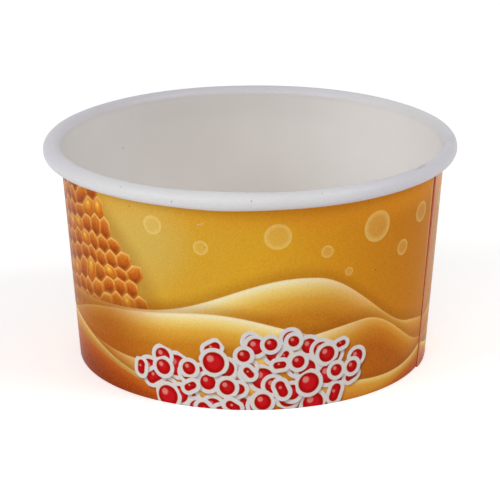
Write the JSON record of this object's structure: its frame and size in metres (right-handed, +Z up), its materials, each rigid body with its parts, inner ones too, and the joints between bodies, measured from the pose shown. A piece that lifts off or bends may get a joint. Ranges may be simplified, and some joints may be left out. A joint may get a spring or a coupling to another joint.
{
  "type": "paper dessert cup",
  "caption": "Round tapered paper dessert cup with an outward rolled rim, a lapped side seam and a recessed bottom disc gripped in a folded foot.",
  "frame": {"origin": "centre of the foot at table level", "axes": "+Z up through the mouth, -Y towards the front, the side seam at the front right"},
  "size_m": [0.087, 0.087, 0.0475],
  "materials": {
    "printed_board": "golden print with a satin varnish outside, coated white food side on the rim and inside",
    "bottom_board": "coated white board, satin"
  },
  "bodies": {
    "root": {"sidewall": "printed_board", "bottom": "bottom_board"}
  },
  "joints": []
}
